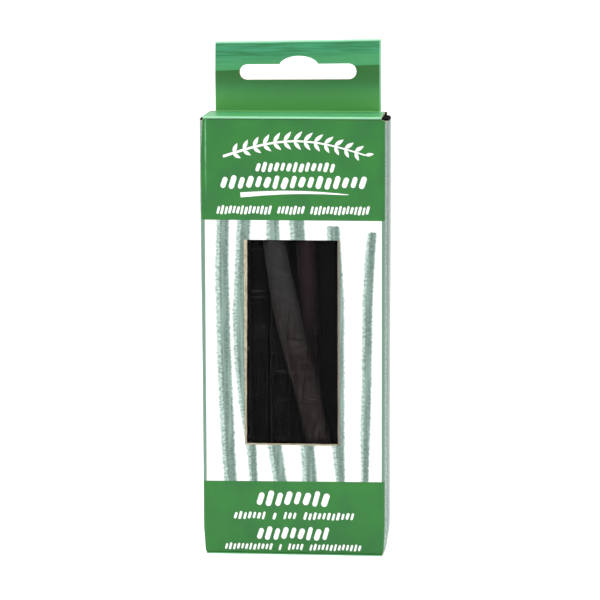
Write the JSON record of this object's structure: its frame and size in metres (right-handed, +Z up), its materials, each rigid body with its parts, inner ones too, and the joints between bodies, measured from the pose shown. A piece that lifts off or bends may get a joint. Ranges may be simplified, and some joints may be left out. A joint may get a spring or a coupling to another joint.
{
  "type": "boxed charcoal sticks",
  "caption": "Tall paperboard carton with a slotted hanging header, a clear front window and tuck closures, holding drawing charcoal sticks.",
  "frame": {"origin": "middle of the base, under the carton's footprint", "axes": "+Z up to the hanging header, -Y out of the windowed front, +X to the right seen from the front"},
  "size_m": [0.052, 0.018, 0.149],
  "materials": {
    "printed_board": "green and white print on coated boxboard, satin",
    "plain_board": "unprinted board, matt",
    "clear_film": "clear film, glossy",
    "vine_charcoal": "carbonised twig, matt with a faint sheen"
  },
  "bodies": {
    "carton": {"front_panel": "printed_board", "back_panel": "printed_board", "left_side_panel": "printed_board", "right_side_panel": "printed_board", "glue_flap": "plain_board", "window_film": "clear_film"},
    "header": {"hang_tab_rear_ply": "printed_board", "hang_tab_front_ply": "printed_board"},
    "lid": {"lid_panel": "printed_board"},
    "lid_tuck": {"lid_tuck_flap": "plain_board"},
    "top_dust_left": {"top_dust_flap_left": "plain_board"},
    "top_dust_right": {"top_dust_flap_right": "plain_board"},
    "base": {"bottom_panel": "printed_board"},
    "base_tuck": {"bottom_tuck_flap": "plain_board"},
    "base_dust_left": {"bottom_dust_flap_left": "plain_board"},
    "base_dust_right": {"bottom_dust_flap_right": "plain_board"},
    "stick_01_body": {"stick_01": "vine_charcoal"},
    "stick_02_body": {"stick_02": "vine_charcoal"},
    "stick_03_body": {"stick_03": "vine_charcoal"},
    "stick_04_body": {"stick_04": "vine_charcoal"},
    "stick_05_body": {"stick_05": "vine_charcoal"},
    "stick_06_body": {"stick_06": "vine_charcoal"},
    "stick_07_body": {"stick_07": "vine_charcoal"},
    "stick_08_body": {"stick_08": "vine_charcoal"},
    "stick_09_body": {"stick_09": "vine_charcoal"},
    "stick_10_body": {"stick_10": "vine_charcoal"},
    "stick_11_body": {"stick_11": "vine_charcoal"},
    "stick_12_body": {"stick_12": "vine_charcoal"}
  },
  "joints": [
    {"name": "header_fold", "type": "hinge", "parent": "carton", "child": "header", "pos_m": [0, 0.009, 0.1285], "axis": [-1, 0, 0], "range_deg": [0, 90]},
    {"name": "lid_hinge", "type": "hinge", "parent": "carton", "child": "lid", "pos_m": [0, 0.00755, 0.1285], "axis": [-1, 0, 0], "range_deg": [0, 85]},
    {"name": "lid_tuck_hinge", "type": "hinge", "parent": "lid", "child": "lid_tuck", "pos_m": [0, -0.0075, 0.12785], "axis": [-1, 0, 0], "range_deg": [-68, 0]},
    {"name": "top_dust_left_hinge", "type": "hinge", "parent": "carton", "child": "top_dust_left", "pos_m": [-0.02535, 0, 0.1277], "axis": [0, -1, 0], "range_deg": [0, 25.5]},
    {"name": "top_dust_right_hinge", "type": "hinge", "parent": "carton", "child": "top_dust_right", "pos_m": [0.02535, 0, 0.1277], "axis": [0, 1, 0], "range_deg": [0, 25.5]},
    {"name": "base_hinge", "type": "hinge", "parent": "carton", "child": "base", "pos_m": [0, 0.00835, 0], "axis": [1, 0, 0], "range_deg": [0, 85]},
    {"name": "base_tuck_hinge", "type": "hinge", "parent": "base", "child": "base_tuck", "pos_m": [0, -0.0075, 0.00065], "axis": [1, 0, 0], "range_deg": [-68, 0]},
    {"name": "base_dust_left_hinge", "type": "hinge", "parent": "carton", "child": "base_dust_left", "pos_m": [-0.02535, 0, 0.0008], "axis": [0, 1, 0], "range_deg": [0, 25.5]},
    {"name": "base_dust_right_hinge", "type": "hinge", "parent": "carton", "child": "base_dust_right", "pos_m": [0.02535, 0, 0.0008], "axis": [0, -1, 0], "range_deg": [0, 25.5]},
    {"name": "stick_01_slide", "type": "slide", "parent": "carton", "child": "stick_01_body", "axis": [-0.213, 0, 0.977], "range_m": [0, 0.005]},
    {"name": "stick_02_slide", "type": "slide", "parent": "carton", "child": "stick_02_body", "axis": [0, 0, 1], "range_m": [0, 0.005]},
    {"name": "stick_03_slide", "type": "slide", "parent": "carton", "child": "stick_03_body", "axis": [0, 0, 1], "range_m": [0, 0.005]},
    {"name": "stick_04_slide", "type": "slide", "parent": "carton", "child": "stick_04_body", "axis": [0, 0, 1], "range_m": [0, 0.005]},
    {"name": "stick_05_slide", "type": "slide", "parent": "carton", "child": "stick_05_body", "axis": [0, 0, 1], "range_m": [0, 0.005]},
    {"name": "stick_06_slide", "type": "slide", "parent": "carton", "child": "stick_06_body", "axis": [0, 0, 1], "range_m": [0, 0.005]},
    {"name": "stick_07_slide", "type": "slide", "parent": "carton", "child": "stick_07_body", "axis": [0, 0, 1], "range_m": [0, 0.005]},
    {"name": "stick_08_slide", "type": "slide", "parent": "carton", "child": "stick_08_body", "axis": [-0.0244, 0, 0.9997], "range_m": [0, 0.005]},
    {"name": "stick_09_slide", "type": "slide", "parent": "carton", "child": "stick_09_body", "axis": [0, 0, 1], "range_m": [0, 0.005]},
    {"name": "stick_10_slide", "type": "slide", "parent": "carton", "child": "stick_10_body", "axis": [0, 0, 1], "range_m": [0, 0.005]},
    {"name": "stick_11_slide", "type": "slide", "parent": "carton", "child": "stick_11_body", "axis": [0, 0, 1], "range_m": [0, 0.005]},
    {"name": "stick_12_slide", "type": "slide", "parent": "carton", "child": "stick_12_body", "axis": [0, 0, 1], "range_m": [0, 0.005]}
  ],
  "couplings": [
    {"joint": "lid_tuck_hinge", "follows": "lid_hinge", "ratio": -0.8},
    {"joint": "top_dust_left_hinge", "follows": "lid_hinge", "ratio": 0.3},
    {"joint": "top_dust_right_hinge", "follows": "lid_hinge", "ratio": 0.3},
    {"joint": "base_tuck_hinge", "follows": "base_hinge", "ratio": -0.8},
    {"joint": "base_dust_left_hinge", "follows": "base_hinge", "ratio": 0.3},
    {"joint": "base_dust_right_hinge", "follows": "base_hinge", "ratio": 0.3}
  ]
}
